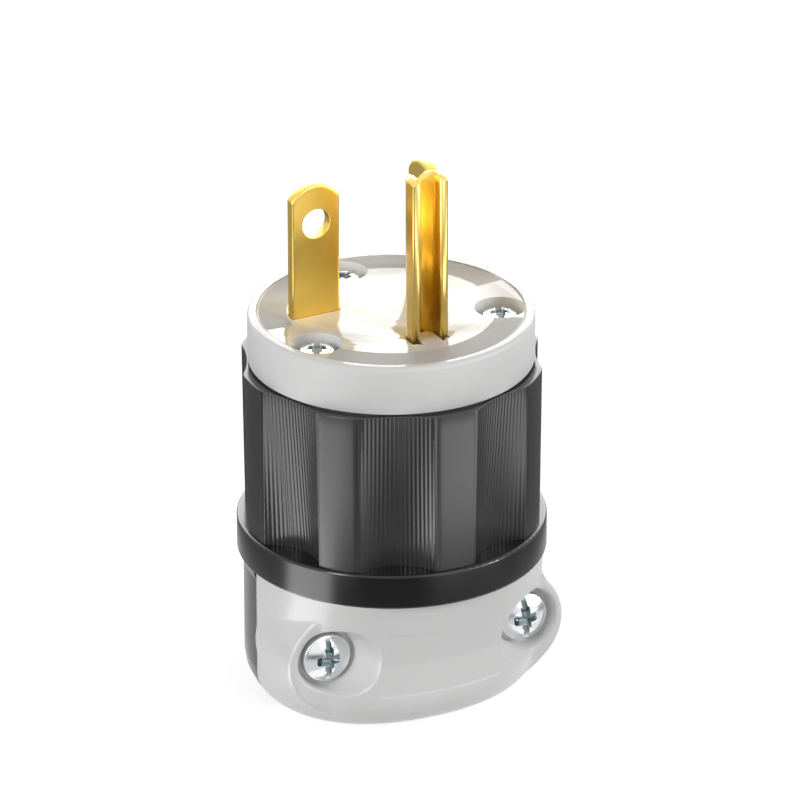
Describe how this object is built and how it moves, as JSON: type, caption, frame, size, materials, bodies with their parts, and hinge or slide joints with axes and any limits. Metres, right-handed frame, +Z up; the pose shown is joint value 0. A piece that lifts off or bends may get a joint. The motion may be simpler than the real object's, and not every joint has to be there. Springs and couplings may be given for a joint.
{
  "type": "straight blade plug",
  "caption": "Straight blade plug: a flat blade set across, a flat blade set edgeways and a U-shaped ground pin on a white face, with a fluted black grip and a cord clamp closed by screws.",
  "frame": {"origin": "centre of the flat cord end, on the axis of the body", "axes": "+Z up the body axis to the blades, X along the line that joins the flat blades, ground pin towards -Y"},
  "size_m": [0.0378, 0.0378, 0.0709],
  "materials": {
    "white_nylon": "smooth, slightly translucent white nylon",
    "black_nylon": "smooth black nylon",
    "brass": "plain rolled brass",
    "zinc_steel": "zinc plated",
    "green_steel": "green dyed plating"
  },
  "bodies": {
    "root": {"face_plate": "white_nylon", "terminal_block": "white_nylon", "cord_clamp": "white_nylon", "body_shell": "black_nylon", "blade_across": "brass", "blade_edgeways": "brass", "ground_pin": "brass", "terminal_screw_across": "brass", "terminal_screw_edgeways": "brass", "pressure_plate_across": "zinc_steel", "pressure_plate_edgeways": "zinc_steel", "pressure_plate_ground": "zinc_steel", "assembly_screw_rear": "zinc_steel", "assembly_screw_left": "zinc_steel", "assembly_screw_right": "zinc_steel", "clamp_screw_left": "zinc_steel", "clamp_screw_right": "zinc_steel", "clamp_nut_left": "zinc_steel", "clamp_nut_right": "zinc_steel", "terminal_screw_ground": "green_steel"}
  },
  "joints": []
}
